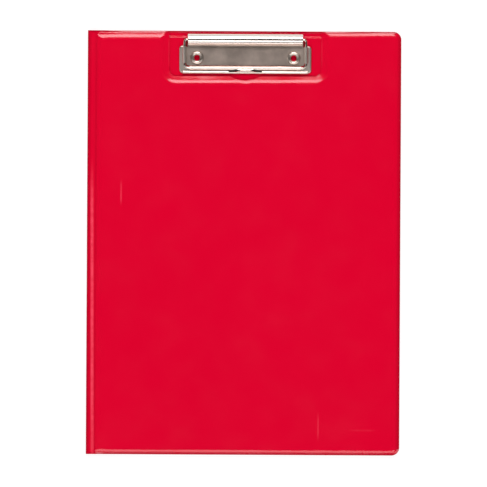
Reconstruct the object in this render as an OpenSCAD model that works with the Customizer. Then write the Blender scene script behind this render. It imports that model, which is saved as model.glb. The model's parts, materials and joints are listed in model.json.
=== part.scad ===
// Fold-over clipboard: two PVC-covered boards on a soft spine, with a sprung wire clip on the back board.
// It lies closed on its back. +X runs from the spine to the free edge, +Y to the clip, +Z out of the cover.

/* [Folder] */
// Width of the closed folder, from the spine to the free edge
folder_w = 235.2; // [225:0.2:250]
// Height of the folder
folder_h = 318; // [305:1:340]
// Radius of the two corners on the free edge
corner_r = 6; // [4:0.5:9]
// Thickness of a PVC sheet
sheet_t = 0.35; // [0.2:0.05:0.5]
// Thickness of the greyboard in the back board
back_core_t = 2; // [1.4:0.1:3]
// Thickness of the greyboard in the cover
cover_core_t = 1.6; // [1.2:0.1:2.6]
// Width of the welded seam along the outer edges
seam_w = 1.8; // [1:0.1:3]
// Width over which a sheet slopes from its board down to the seam
slope_w = 3.4; // [2:0.1:5]
// Radius of the boards' own corners
shoulder_r = 1.5; // [1:0.1:3]
// Space between the edge of a board and the slope of its sheets
core_clear = 0.3; // [0.1:0.05:0.6]
// Free space between the back board and the closed cover
board_gap = 0.45; // [0.3:0.05:2]

/* [Spine] */
// Width of the spine fold, from the crease to the outer edge
spine_w = 6.4; // [5:0.1:9]
// Width of the weld along the crease
crease_w = 1; // [0.6:0.1:1.6]
// Depth of the fold's crown below the face of its board
crown_drop = 0.2; // [0.1:0.05:0.5]
// Gap between a fold's rounded edge and the spine strips
fold_clear = 0.05; // [0.05:0.01:0.1]

/* [Cut-out in the cover] */
// Space beside the clip
notch_side_gap = 7.4; // [3:0.1:10]
// Space in front of the clip's lip
notch_front_gap = 1.8; // [1:0.1:4]
// Width of the welded seam round the cut-out
notch_seam_w = 3.6; // [2:0.1:5]
// Radius of the lower corners of the cut-out
notch_r = 5; // [2:0.5:8]
// Radius of the upper corners of the cut-out
mouth_r = 2; // [1:0.5:4]
// Width of the half-moon thumb cut in the seam
thumb_cut_w = 22; // [14:1:30]
// Seam that stays below the thumb cut
thumb_cut_margin = 0.4; // [0.2:0.1:1]

/* [Pocket inside the cover] */
// Thickness of the pocket sheet
pocket_t = 0.25; // [0.15:0.05:0.4]
// Height of the pocket at the free edge
pocket_high = 170; // [120:5:220]
// Height of the pocket at the spine
pocket_low = 70; // [40:5:110]
// Margin between the pocket and the edge of the board
pocket_margin = 1; // [0.5:0.5:4]

/* [Clip] */
// Sideways place of the clip's middle
clip_x = 0.6; // [-5:0.1:5]
// Distance from the top edge to the barrel
clip_setback = 2.4; // [2:0.1:6]
// Depth of the clip, from the back of the barrel to the lip
clip_depth = 29.8; // [28:0.1:36]
// Outer diameter of the barrel
barrel_d = 8.2; // [7.6:0.1:10]
// Length of the barrel
barrel_len = 86.6; // [80:0.2:88]
// Thickness of the base plate and the barrel wall
plate_t = 0.8; // [0.6:0.05:1]
// Thickness of the barrel's closed ends
barrel_end_t = 1.2; // [1:0.1:2]
// Radius on the rim of the barrel's ends
barrel_rim_r = 0.6; // [0.3:0.1:0.9]
// Height of the barrel above the base plate's underside
barrel_lift = 0.05; // [0.05:0.01:0.1]
// Width of the open seam where the roll ends above the plate
roll_gap = 0.7; // [0.4:0.1:1.2]
// Radius of the base plate's front corners
plate_corner_r = 1.5; // [0.5:0.1:3]
// Gap between the base plate and the jaw's front hem
plate_gap = 0.5; // [0.3:0.1:1]
// Overhang of the base plate's wide part past each end of the barrel
plate_side = 1.1; // [0.6:0.1:1.4]
// Distance from the barrel to the base plate's wide part
plate_side_gap = 1.5; // [1:0.1:3]

/* [Jaw] */
// Thickness of the jaw's sheet
jaw_t = 0.7; // [0.5:0.05:0.8]
// Radius of the rolled lip
lip_r = 1.2; // [1:0.05:1.4]
// Rounding at the ends of the rolled lip
lip_end_r = 0.9; // [0.6:0.05:1]
// Height of the resting lip above the board
lip_clear = 0.2; // [0.1:0.05:0.3]
// Height of the front hem above the board
hem_clear = 0.9; // [0.8:0.05:1.2]
// Width of the valley between the hem and the lip
valley_w = 0.4; // [0.2:0.1:1]
// Width of an arm outside the middle line of the wire
arm_w = 3.9; // [3.6:0.1:7]
// Radius of the turned-down side edges
edge_r = 1; // [0.8:0.05:1.1]
// Radius of the jaw's front corners
jaw_corner_r = 2.8; // [2.2:0.1:4]
// Radius at the rear ends of the arms
arm_end_r = 1.4; // [0.8:0.1:1.5]
// Clear space between the barrel and the arms' rear ends
arm_gap = 0.7; // [0.4:0.1:2]
// Width of the thumb swelling between the hem and the lip
thumb_w = 28; // [20:1:36]
// Height of the thumb swelling's arch above the middle of the wire
thumb_h = 1.7; // [1.6:0.05:2]
// Radius of the roll of the thumb swelling
thumb_roll_r = 1.6; // [1.5:0.05:1.75]
// Width of the nail relief under the lip
nail_w = 20; // [14:1:26]
// Height of the nail relief under the lip
nail_h = 0.6; // [0.3:0.1:0.8]

/* [Bail wire] */
// Diameter of the wire
wire_d = 1.5; // [1.2:0.1:1.6]
// Straight length between the barrel and the first bend
wire_exit = 0.3; // [0.3:0.1:1]
// Bend radius of the wire beside the barrel
wire_bend_r = 2.1; // [1.6:0.1:2.6]
// Bend radius of the wire in the jaw's corners
wire_corner_r = 3.2; // [2.6:0.1:4]
// Running clearance round the wire
wire_clear = 0.05; // [0.02:0.01:0.08]
// Bare wire between a corner bend and the nearest hem
hem_end_gap = 0.6; // [0.3:0.1:2]
// Diameter of the cranked foot at each end of the wire
foot_d = 1.4; // [1:0.1:1.4]
// Clearance between the foot and the inside of the barrel
foot_clear = 0.3; // [0.2:0.05:0.6]

/* [Torsion springs] */
// Diameter of the spring wire
spring_wire_d = 1; // [0.8:0.05:1.1]
// Middle diameter of the coil
spring_d = 4.8; // [4.4:0.1:5]
// Number of turns
spring_turns = 6; // [4:1:8]
// Gap between the turns
spring_gap = 0.5; // [0.45:0.05:0.8]
// Length of each straight end inside the barrel
spring_tail = 1.5; // [1:0.1:3]
// Depth of the seat for the tail in the barrel's end
tail_seat = 0.6; // [0.3:0.1:0.8]
// Clearance round the spring's tails
tail_clear = 0.05; // [0.03:0.01:0.1]

/* [Eyelets] */
// Distance from the ends of the barrel in to the eyelets
eyelet_inset = 7; // [6:0.1:14]
// Distance from the barrel's axis to the eyelets
eyelet_setback = 13.7; // [11:0.1:14]
// Diameter of the domed flange
eyelet_flange_d = 10.2; // [8:0.1:10.6]
// Height of the domed flange
eyelet_dome_h = 0.9; // [0.6:0.1:1.2]
// Diameter of the hole through the eyelet
eyelet_bore_d = 4.4; // [3.6:0.1:5]
// Wall of the eyelet's tube
eyelet_wall = 0.4; // [0.3:0.05:0.6]
// Diameter of the clinched end behind the board
clinch_d = 7.6; // [7:0.1:9]
// Thickness of the clinched end
clinch_t = 0.5; // [0.4:0.05:0.7]
// Clearance round the eyelet
eyelet_clear = 0.1; // [0.05:0.05:0.2]

/* [Hidden] */

$fn = 64;
pvc_red = "#de012e";
pocket_red = "#e0304f";
greyboard = "#9b958a";
nickel = "#b8b0a6";
spring_steel = "#8d8a86";

// Overlap of pieces that are fused within one sheet or plate
lap = 0.2;
// Steps along a sheet's slope and along the fold's crown
slope_steps = 6;
crown_steps = 12;
// Share of the fold's width that lies before the crown, as a power
crown_skew = 0.65;
// Rings in one turn of a spring, and sides of its wire
rings_per_turn = 8;
wire_sides = 6;
// Reach of a cutting shape past the piece that it cuts
over = 1;

// Heights of the layers
back_weld_z = sheet_t + back_core_t / 2;
back_top_z = 2 * sheet_t + back_core_t;
cover_low_z = back_top_z + board_gap + pocket_t;
cover_weld_z = cover_low_z + sheet_t + cover_core_t / 2;

// Plan of the boards
left_x = -folder_w / 2;
right_x = folder_w / 2;
top_y = folder_h / 2;
hinge_x = left_x + sheet_t;
crease_x = left_x + spine_w;
core_x0 = crease_x + crease_w / 2 + slope_w;
core_x1 = right_x - seam_w - slope_w;
core_y = top_y - seam_w - slope_w;
fold_x = crease_x - crease_w / 2;
fold_w = fold_x - hinge_x;

// Widths of the clip from its middle
leg_x = barrel_len / 2 + wire_exit + wire_bend_r;
edge_x = leg_x + arm_w - edge_r;
eyelet_x = barrel_len / 2 - eyelet_inset;

// Plan of the cut-out
notch_half = edge_x + edge_r + notch_side_gap;
notch_y = top_y - clip_setback - clip_depth - notch_front_gap;
thumb_cut_d = notch_seam_w - thumb_cut_margin;
thumb_cut_r = (pow(thumb_cut_w / 2, 2) + pow(thumb_cut_d, 2)) / (2 * thumb_cut_d);

// Places on the clip
barrel_r = barrel_d / 2;
wire_r = wire_d / 2;
hem_bore_r = wire_r + wire_clear;
hem_r = hem_bore_r + jaw_t;
axis_y = top_y - clip_setback - barrel_r;
axis_z = back_top_z + barrel_lift + barrel_r;
lip_reach = clip_depth - barrel_r - lip_r;
wire_reach = lip_reach - lip_r - valley_w - hem_r;
plate_reach = wire_reach - hem_r - plate_gap;
wire_drop = barrel_r + barrel_lift - hem_clear - hem_r;
jaw_tilt = atan(wire_drop / wire_reach);

// Places on the jaw, in its own tilted plane through the barrel's axis
front_run = wire_reach / cos(jaw_tilt);
lip_run = lip_reach / cos(jaw_tilt);
board_at_lip = (lip_reach * tan(jaw_tilt) - barrel_r - barrel_lift) / cos(jaw_tilt);
lip_z = board_at_lip + lip_clear + lip_r;
arm_run = barrel_r + arm_gap;
jaw_top_z = -hem_bore_r - barrel_lift;
corner_inner_r = jaw_corner_r - edge_r;
thumb_run = (front_run + lip_run) / 2;
thumb_arch_r = (pow(thumb_w / 2, 2) + pow(thumb_h, 2)) / (2 * thumb_h);
nail_r = (pow(nail_w / 2, 2) + pow(nail_h, 2)) / (2 * nail_h);

// Places on the springs
spring_wire_r = spring_wire_d / 2;
spring_r = spring_d / 2;
spring_pitch = spring_wire_d + spring_gap;
end_wall_x = barrel_len / 2 - barrel_end_t;
coil_x = end_wall_x - spring_tail;
coil_end_x = coil_x - spring_turns * spring_pitch;
foot_x = coil_end_x - spring_tail;
foot_angle = 90 + jaw_tilt;
tail_angle = foot_angle - asin((foot_d / 2 + spring_wire_r + tail_clear) / spring_r);

// Places on the eyelets
eyelet_bore_r = eyelet_bore_d / 2;
eyelet_tube_r = eyelet_bore_r + eyelet_wall;
eyelet_hole_r = eyelet_tube_r + eyelet_clear;
eyelet_y = axis_y - eyelet_setback;
dome_half = (eyelet_flange_d / 2 - eyelet_bore_r) / 2;
dome_r = (pow(dome_half, 2) + pow(eyelet_dome_h, 2)) / (2 * eyelet_dome_h);

// Outline of a board whose edge is moved outward by grow
module board_outline(grow, notched) {
    r = shoulder_r + grow;
    difference() {
        rounded_panel(core_x0 - grow, core_x1 + grow, core_y + grow, r, r);
        if (notched) {
            notch_outline(notch_seam_w + slope_w - grow, core_y + grow, r);
        }
    }
}

// Panel that is even about the X axis, with its own radii at the spine and at the free edge
module rounded_panel(x0, x1, y, left_r, right_r) {
    r = max(left_r, right_r);
    translate([x0 + r, -y]) square([x1 - x0 - 2 * r, 2 * y]);
    panel_end(x0, 1, y, left_r, r);
    panel_end(x1, -1, y, right_r, r);
}

module panel_end(x, side, y, r, reach) {
    x_near = min(x, x + side * r);
    x_all = min(x, x + side * (reach + lap));
    x_far = min(x + side * r, x + side * (reach + lap));
    if (r > 0) {
        translate([x_near, r - y]) square([r, 2 * (y - r)]);
        translate([x_far, -y]) square([reach + lap - r, 2 * y]);
        for (up = [-1, 1]) translate([x + side * r, up * (y - r)]) circle(r);
    } else {
        translate([x_all, -y]) square([reach + lap, 2 * y]);
    }
}

// Area of the cut-out, moved into the board by inset and opening at the edge y_edge
module notch_outline(inset, y_edge, lip_corner_r) {
    half = notch_half + inset;
    low = notch_y - inset;
    r = notch_r + inset;
    translate([clip_x, 0]) {
        translate([-half, low + r]) square([2 * half, y_edge - low - r + over]);
        translate([r - half, low]) square([2 * (half - r), r + lap]);
        for (side = [-1, 1]) {
            translate([side * (half - r), low + r]) circle(r);
            mirror([side < 0 ? 1 : 0, 0]) translate([half, y_edge - lip_corner_r]) difference() {
                translate([-lap, 0]) square([lip_corner_r + lap, lip_corner_r + over]);
                translate([lip_corner_r, 0]) circle(lip_corner_r);
            }
        }
    }
}

// Section of a sheet that leaves a board of half thickness rise and comes down to the weld plane.
// It runs outward from the edge of the board, on the upper side (1) or the lower side (-1) of the weld.
module slope_section(weld_z, rise, side) {
    fall = [for (i = [0:slope_steps])
        [slope_w * i / slope_steps, rise * (1 + cos(180 * i / slope_steps)) / 2]];
    inner = concat([[-lap, rise]], fall, [[slope_w + lap, 0]]);
    count = len(inner);
    polygon(concat(
        [for (p = inner) [p[0], weld_z + side * p[1]]],
        [for (i = [count - 1:-1:0]) [inner[i][0], weld_z + side * (inner[i][1] + sheet_t)]]
    ));
}

// Straight slope along an edge. It faces towards the angle and runs on to the right of that.
module slope_run(x, y, angle, length, weld_z, rise, side) {
    translate([x, y, 0]) rotate([0, 0, angle]) rotate([90, 0, 0])
        linear_extrude(length) slope_section(weld_z, rise, side);
}

// Quarter turn of the slope round an outer corner of a board
module slope_corner(x, y, angle, weld_z, rise, side) {
    translate([x, y, 0]) rotate([0, 0, angle]) rotate_extrude(angle = 90)
        translate([shoulder_r, 0]) slope_section(weld_z, rise, side);
}

// Quarter turn of the slope inside a lower corner of the cut-out
module slope_inner_corner(x, y, angle, r, weld_z, rise, side) {
    translate([x, y, 0]) rotate([0, 0, angle]) rotate_extrude(angle = 90)
        translate([r, 0]) mirror([1, 0]) slope_section(weld_z, rise, side);
}

// All slopes round a board
module board_slopes(weld_z, rise, side, notched) {
    r = shoulder_r;
    x0 = core_x0;
    x1 = core_x1;
    y = core_y;
    width = x1 - x0 - 2 * r;
    height = 2 * (y - r);
    slope_run(x1, y - r, 0, height, weld_z, rise, side);
    slope_run(x0, r - y, 180, height, weld_z, rise, side);
    slope_run(x1 - r, -y, 270, width, weld_z, rise, side);
    slope_corner(x1 - r, y - r, 0, weld_z, rise, side);
    slope_corner(x0 + r, y - r, 90, weld_z, rise, side);
    slope_corner(x0 + r, r - y, 180, weld_z, rise, side);
    slope_corner(x1 - r, r - y, 270, weld_z, rise, side);
    if (notched) {
        notch_slopes(weld_z, rise, side);
    } else {
        slope_run(x0 + r, y, 90, width, weld_z, rise, side);
    }
}

module notch_slopes(weld_z, rise, side) {
    r = shoulder_r;
    inset = notch_seam_w + slope_w;
    half = notch_half + inset;
    low = notch_y - inset;
    turn_r = notch_r + inset;
    left = clip_x - half;
    right = clip_x + half;
    depth = core_y - r - low - turn_r;
    slope_run(core_x0 + r, core_y, 90, left - core_x0 - 2 * r, weld_z, rise, side);
    slope_corner(left - r, core_y - r, 0, weld_z, rise, side);
    slope_run(left, core_y - r, 0, depth, weld_z, rise, side);
    slope_inner_corner(left + turn_r, low + turn_r, 180, turn_r, weld_z, rise, side);
    slope_run(left + turn_r, low, 90, 2 * (half - turn_r), weld_z, rise, side);
    slope_inner_corner(right - turn_r, low + turn_r, 270, turn_r, weld_z, rise, side);
    slope_run(right, low + turn_r, 180, depth, weld_z, rise, side);
    slope_corner(right + r, core_y - r, 90, weld_z, rise, side);
    slope_run(right + r, core_y, 90, core_x1 - right - 2 * r, weld_z, rise, side);
}

// Flat welded seam round a board, from the spine's crease to the outer edges
module seam_outline(notched) {
    difference() {
        rounded_panel(fold_x - lap, right_x, top_y, 0, corner_r);
        board_outline(slope_w, notched);
        if (notched) {
            notch_outline(0, top_y, mouth_r);
            thumb_cut_outline();
        }
    }
}

// Half-moon cut in the seam below the lip of the clip
module thumb_cut_outline() {
    translate([clip_x, notch_y - thumb_cut_d + thumb_cut_r]) circle(thumb_cut_r);
}

// Section of a sheet across the spine fold, from the crease out to the rounded edge on the hinge line.
// The crown stands on the outer face of the board: up (1) on the cover and down (-1) on the back.
module fold_section(weld_z, crown, outward, side) {
    rise = [for (i = [0:crown_steps])
        [fold_w * i / crown_steps, crown * sin(180 * pow(i / crown_steps, crown_skew))]];
    path = concat([[-lap, 0]], rise);
    count = len(path);
    polygon(concat(
        [for (p = path) [fold_x - p[0], weld_z + outward * p[1]]],
        [for (i = [count - 1:-1:0]) [fold_x - path[i][0], weld_z + outward * path[i][1] + side * sheet_t]]
    ));
    intersection() {
        translate([hinge_x, weld_z]) circle(sheet_t);
        translate([hinge_x - over, weld_z + min(0, side * over)]) square([over, over]);
    }
}

module spine_fold(weld_z, crown, outward, side) {
    translate([0, top_y, 0]) rotate([90, 0, 0])
        linear_extrude(folder_h) fold_section(weld_z, crown, outward, side);
}

// One PVC sheet of a board: flat face, slopes, seam and its half of the spine fold
module board_sheet(weld_z, core_t, outward, side, notched) {
    rise = core_t / 2;
    face_z = weld_z + side * rise + min(0, side * sheet_t);
    seam_z = weld_z + min(0, side * sheet_t);
    translate([0, 0, face_z]) linear_extrude(sheet_t) board_outline(0, notched);
    translate([0, 0, seam_z]) linear_extrude(sheet_t) seam_outline(notched);
    board_slopes(weld_z, rise, side, notched);
    spine_fold(weld_z, rise - crown_drop, outward, side);
}

module board_core(low_z, core_t, notched) {
    translate([0, 0, low_z]) linear_extrude(core_t) board_outline(-core_clear, notched);
}

// Places its children at both eyelets, or at one side only
module at_eyelet(side) {
    translate([clip_x + side * eyelet_x, eyelet_y, back_top_z]) children();
}

module eyelet_holes(depth) {
    for (side = [-1, 1]) at_eyelet(side)
        translate([0, 0, -depth]) cylinder(h = depth + over + plate_t, r = eyelet_hole_r);
}

module back_core() {
    color(greyboard) difference() {
        board_core(sheet_t, back_core_t, false);
        eyelet_holes(back_top_z);
        for (side = [-1, 1]) at_eyelet(side)
            translate([0, 0, sheet_t - back_top_z - over])
                cylinder(h = over + clinch_t + eyelet_clear, r = clinch_d / 2 + eyelet_clear);
    }
}

module back_rear_sheet() {
    color(pvc_red) board_sheet(back_weld_z, back_core_t, -1, -1, false);
}

module back_front_sheet() {
    color(pvc_red) difference() {
        board_sheet(back_weld_z, back_core_t, -1, 1, false);
        eyelet_holes(sheet_t + over);
    }
}

module cover_core() {
    color(greyboard) board_core(cover_low_z + sheet_t, cover_core_t, true);
}

module cover_front_sheet() {
    color(pvc_red) board_sheet(cover_weld_z, cover_core_t, 1, 1, true);
}

module cover_lining() {
    color(pvc_red) board_sheet(cover_weld_z, cover_core_t, 1, -1, true);
}

// Pocket with a slanted mouth, flat on the lining and welded along the lower and free edges
module cover_pocket() {
    x0 = core_x0 + pocket_margin;
    x1 = core_x1 - pocket_margin;
    y0 = pocket_margin - core_y;
    color(pocket_red) translate([0, 0, cover_low_z - pocket_t]) linear_extrude(pocket_t)
        polygon([[x0, y0], [x1, y0], [x1, y0 + pocket_high], [x0, y0 + pocket_low]]);
}

// Flat strip of the spine between the two hinge lines
module spine_strip(x) {
    low = back_weld_z + sheet_t + fold_clear;
    high = cover_weld_z - sheet_t - fold_clear;
    translate([x, -top_y, low]) cube([sheet_t, folder_h, high - low]);
}

module spine_outer_strip() {
    color(pvc_red) spine_strip(left_x);
}

module spine_lining_strip() {
    color(pvc_red) spine_strip(hinge_x);
}

// Turns a revolved section so that its axis lies along X at the barrel
module about_barrel() {
    translate([clip_x, axis_y, axis_z]) rotate([0, 90, 0]) children();
}

// Section of a rod with rounded rims, from its middle line outward
module round_ended_section(half, r, rim_r) {
    translate([0, rim_r - half]) square([r, 2 * (half - rim_r)]);
    translate([0, -half]) square([r - rim_r, 2 * half]);
    for (end = [-1, 1]) translate([r - rim_r, end * (half - rim_r)]) circle(rim_r);
}

// Half section of the barrel: a tube with closed ends, rounded rims and a hole for the wire
module barrel_section() {
    half = barrel_len / 2;
    difference() {
        round_ended_section(half, barrel_r, barrel_rim_r);
        translate([-over, -half - over]) square([over + hem_bore_r, 2 * (half + over)]);
        translate([0, -end_wall_x]) square([barrel_r - plate_t, 2 * end_wall_x]);
    }
}

// Plan of the base plate: as wide as the barrel at the rear, wider in front of it
module base_plate_outline() {
    r = plate_corner_r;
    half = barrel_len / 2 + plate_side;
    wide_run = barrel_r + plate_side_gap;
    translate([clip_x, axis_y]) {
        translate([-barrel_len / 2, -wide_run - lap]) square([barrel_len, wide_run + lap]);
        translate([-half, r - plate_reach]) square([2 * half, plate_reach - r - wide_run]);
        translate([r - half, -plate_reach]) square([2 * (half - r), r + lap]);
        for (side = [-1, 1]) translate([side * (half - r), r - plate_reach]) circle(r);
    }
}

module clip_base() {
    color(nickel) difference() {
        union() {
            about_barrel() rotate_extrude() barrel_section();
            translate([0, 0, back_top_z]) linear_extrude(plate_t) base_plate_outline();
        }
        translate([clip_x - end_wall_x, axis_y - barrel_d, back_top_z + plate_t])
            cube([2 * end_wall_x, barrel_d, roll_gap]);
        eyelet_holes(over);
        for (end = [-1, 1]) tail_seat_hole(end);
    }
}

// Blind seat for a spring's tail in one end of the barrel
module tail_seat_hole(end) {
    y = axis_y + spring_r * cos(tail_angle);
    z = axis_z + spring_r * sin(tail_angle);
    translate([clip_x + end * end_wall_x, y, z])
        rotate([0, 90 * end, 0]) translate([0, 0, -over])
            cylinder(h = over + tail_seat, r = spring_wire_r + tail_clear);
}

// Hollow rivet: domed flange on the plate, tube through the board and clinched end behind it
module eyelet() {
    clinch_z = sheet_t - back_top_z;
    translate([0, 0, plate_t]) rotate_extrude() intersection() {
        translate([eyelet_bore_r + dome_half, eyelet_dome_h - dome_r]) circle(dome_r);
        translate([eyelet_bore_r, 0]) square([2 * dome_half, eyelet_dome_h + over]);
    }
    rotate_extrude() {
        translate([eyelet_bore_r, clinch_z]) square([eyelet_wall, plate_t - clinch_z + lap]);
        translate([eyelet_bore_r, clinch_z]) square([clinch_d / 2 - eyelet_bore_r, clinch_t]);
    }
}

module eyelet_left() {
    color(nickel) at_eyelet(-1) eyelet();
}

module eyelet_right() {
    color(nickel) at_eyelet(1) eyelet();
}

// Middle line of a spring from the barrel's end inward, as places along X and angles about the axis
function spring_line() = concat(
    [[end_wall_x + tail_seat - tail_clear, tail_angle], [coil_x + spring_wire_d, tail_angle]],
    [for (i = [0:spring_turns * rings_per_turn])
        [coil_x - i * spring_pitch / rings_per_turn, tail_angle + 360 * i / rings_per_turn]],
    [[coil_end_x - spring_wire_d, tail_angle], [foot_x - foot_d, tail_angle]]
);

function spring_point(p) = [p[0], spring_r * cos(p[1]), spring_r * sin(p[1])];

function unit(v) = v / norm(v);

// Ring of the wire's surface about one point of the middle line
function wire_ring(centre, ahead, outward) = let (across = cross(ahead, outward))
    [for (k = [0:wire_sides - 1])
        centre + spring_wire_r * (outward * cos(360 * k / wire_sides) + across * sin(360 * k / wire_sides))];

// Least space between parts of the spring that are at least half a turn apart
function self_gap(points) = min([
    for (i = [0:len(points) - 1], j = [i + 1:1:len(points) - 1])
        if (j - i > rings_per_turn / 2) norm(points[i] - points[j]) - spring_wire_d]);

module torsion_spring() {
    line = spring_line();
    points = [for (p = line) spring_point(p)];
    last = len(points) - 1;
    rings = [for (i = [0:last])
        wire_ring(
            points[i],
            unit(points[min(i + 1, last)] - points[max(i - 1, 0)]),
            [0, cos(line[i][1]), sin(line[i][1])]
        )];
    sides = [for (i = [0:last - 1], k = [0:wire_sides - 1])
        let (a = i * wire_sides + k, b = i * wire_sides + (k + 1) % wire_sides)
        each [[a, b, b + wire_sides], [a, b + wire_sides, a + wire_sides]]];
    first_cap = [for (k = [1:wire_sides - 2]) [0, k + 1, k]];
    start = last * wire_sides;
    last_cap = [for (k = [1:wire_sides - 2]) [start, start + k, start + k + 1]];
    echo(spring_self_gap = self_gap(points));
    polyhedron([for (ring = rings) each ring], concat(sides, first_cap, last_cap));
}

module torsion_spring_left() {
    color(spring_steel) translate([clip_x, axis_y, axis_z]) mirror([1, 0, 0]) torsion_spring();
}

module torsion_spring_right() {
    color(spring_steel) translate([clip_x, axis_y, axis_z]) torsion_spring();
}

// The jaw's own plane: its origin is on the barrel's axis and it leans down towards the lip
module in_jaw_plane() {
    translate([clip_x, axis_y, axis_z]) rotate([jaw_tilt, 0, 0]) children();
}

// Straight rod along X or towards the lip, in the jaw's plane
module rod_across(run, half, r) {
    translate([-half, -run, 0]) rotate([0, 90, 0]) cylinder(h = 2 * half, r = r);
}

module rod_along(x, run0, run1, r) {
    translate([x, -run0, 0]) rotate([90, 0, 0]) cylinder(h = run1 - run0, r = r);
}

// One half of the wire: cranked foot, pin in the barrel, bend, leg and front corner
module half_wire() {
    bend_x = leg_x - wire_bend_r;
    corner_x = leg_x - wire_corner_r;
    corner_run = front_run - wire_corner_r;
    foot_len = barrel_r - plate_t - foot_clear;
    translate([foot_x, 0, 0]) cylinder(h = foot_len, d = foot_d);
    translate([foot_x - wire_r, 0, 0]) rotate([0, 90, 0]) cylinder(h = bend_x - foot_x + wire_r, r = wire_r);
    translate([bend_x, -wire_bend_r, 0]) rotate_extrude(angle = 90)
        translate([wire_bend_r, 0]) circle(wire_r);
    rod_along(leg_x, wire_bend_r, corner_run, wire_r);
    translate([corner_x, -corner_run, 0]) rotate([0, 0, -90]) rotate_extrude(angle = 90)
        translate([wire_corner_r, 0]) circle(wire_r);
}

module bail_wire() {
    color(nickel) in_jaw_plane() {
        half_wire();
        mirror([1, 0, 0]) half_wire();
        rod_across(front_run, leg_x - wire_corner_r, wire_r);
    }
}

// Flat of the jaw in its plane: two arms and a front bar
module jaw_outline() {
    r = corner_inner_r;
    rear = arm_run + edge_r;
    corner_x = leg_x - wire_corner_r;
    difference() {
        union() {
            translate([-edge_x, r - lip_run]) square([2 * edge_x, lip_run - r - rear - arm_end_r]);
            translate([arm_end_r - edge_x, -rear - arm_end_r - lap])
                square([2 * (edge_x - arm_end_r), arm_end_r + lap]);
            translate([r - edge_x, -lip_run]) square([2 * (edge_x - r), r + lap]);
            for (side = [-1, 1]) {
                translate([side * (edge_x - r), r - lip_run]) circle(r);
                translate([side * (edge_x - arm_end_r), -rear - arm_end_r]) circle(arm_end_r);
            }
        }
        translate([-leg_x, wire_corner_r - front_run]) square([2 * leg_x, front_run]);
        translate([-corner_x, -front_run]) square([2 * corner_x, wire_corner_r + lap]);
        for (side = [-1, 1]) translate([side * corner_x, wire_corner_r - front_run]) circle(wire_corner_r);
    }
}

// Section of the turned-down edge, outward from the flat of the jaw
module edge_section() {
    translate([-lap, jaw_top_z - jaw_t]) square([lap, jaw_t]);
    intersection() {
        translate([0, jaw_top_z - edge_r]) difference() {
            circle(edge_r);
            circle(edge_r - jaw_t);
        }
        translate([0, jaw_top_z - edge_r]) square(edge_r + over);
    }
}

// Turned-down edge of one arm: round its rear end, along its side and round the front corner
module jaw_edge() {
    r = corner_inner_r;
    rear = arm_run + edge_r;
    translate([leg_x, -rear, 0]) rotate([0, 0, 90]) rotate([90, 0, 0])
        linear_extrude(edge_x - arm_end_r - leg_x) edge_section();
    translate([edge_x - arm_end_r, -rear - arm_end_r, 0]) rotate_extrude(angle = 90)
        translate([arm_end_r, 0]) edge_section();
    translate([edge_x, -rear - arm_end_r, 0]) rotate([90, 0, 0])
        linear_extrude(lip_run - r - rear - arm_end_r) edge_section();
    translate([edge_x - r, r - lip_run, 0]) rotate([0, 0, -90]) rotate_extrude(angle = 90)
        translate([r, 0]) edge_section();
}

// Rolled lip with rounded ends that reach into the jaw's corners
module lip_roll() {
    half = edge_x - corner_inner_r - lap + lip_end_r;
    translate([0, -lip_run, lip_z]) rotate([0, 90, 0]) rotate_extrude() difference() {
        round_ended_section(half, lip_r, lip_end_r);
        translate([-lip_r, -half - over]) square([lip_r, 2 * (half + over)]);
    }
}

// Thumb swelling: a roll in the valley between the hem and the lip, cut down to a low arch on either side
module thumb_swelling() {
    low_z = jaw_top_z - jaw_t / 2;
    run0 = front_run - hem_r;
    run1 = lip_run + 2 * lip_r;
    difference() {
        intersection() {
            rod_across(thumb_run, thumb_w, thumb_roll_r);
            translate([0, 0, thumb_h - thumb_arch_r]) rod_along(0, run0, run1, thumb_arch_r);
        }
        translate([-2 * thumb_w, -run1, low_z - thumb_arch_r]) cube([4 * thumb_w, run1 - run0, thumb_arch_r]);
    }
}

module clip_jaw() {
    side_hem_start = arm_run + edge_r / 2;
    side_hem_end = front_run - wire_corner_r - hem_end_gap;
    front_hem_half = leg_x - wire_corner_r - hem_end_gap;
    relief_z = lip_z - lip_r + nail_h - nail_r;
    color(nickel) in_jaw_plane() difference() {
        union() {
            translate([0, 0, jaw_top_z - jaw_t]) linear_extrude(jaw_t) jaw_outline();
            jaw_edge();
            mirror([1, 0, 0]) jaw_edge();
            for (side = [-1, 1]) rod_along(side * leg_x, side_hem_start, side_hem_end, hem_r);
            rod_across(front_run, front_hem_half, hem_r);
            lip_roll();
            thumb_swelling();
        }
        for (side = [-1, 1]) rod_along(side * leg_x, side_hem_start - over, side_hem_end + over, hem_bore_r);
        rod_across(front_run, front_hem_half + over, hem_bore_r);
        translate([0, 0, relief_z]) rod_along(0, lip_run - lip_r, lip_run + 2 * lip_r, nail_r);
    }
}

back_core();
back_rear_sheet();
back_front_sheet();
clip_base();
eyelet_left();
eyelet_right();
torsion_spring_left();
torsion_spring_right();
clip_jaw();
bail_wire();
spine_outer_strip();
spine_lining_strip();
cover_core();
cover_front_sheet();
cover_lining();
cover_pocket();
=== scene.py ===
"""Looks of the fold-over clipboard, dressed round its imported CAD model.

Lengths are in millimetres, and MM turns them into Blender's metres. Only the camera's distance, the size of
the floor and the lights are given in metres.
"""
import json
import math
from collections import namedtuple

import bmesh
import bpy
import numpy as np
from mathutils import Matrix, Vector
from mathutils.geometry import delaunay_2d_cdt


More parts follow.
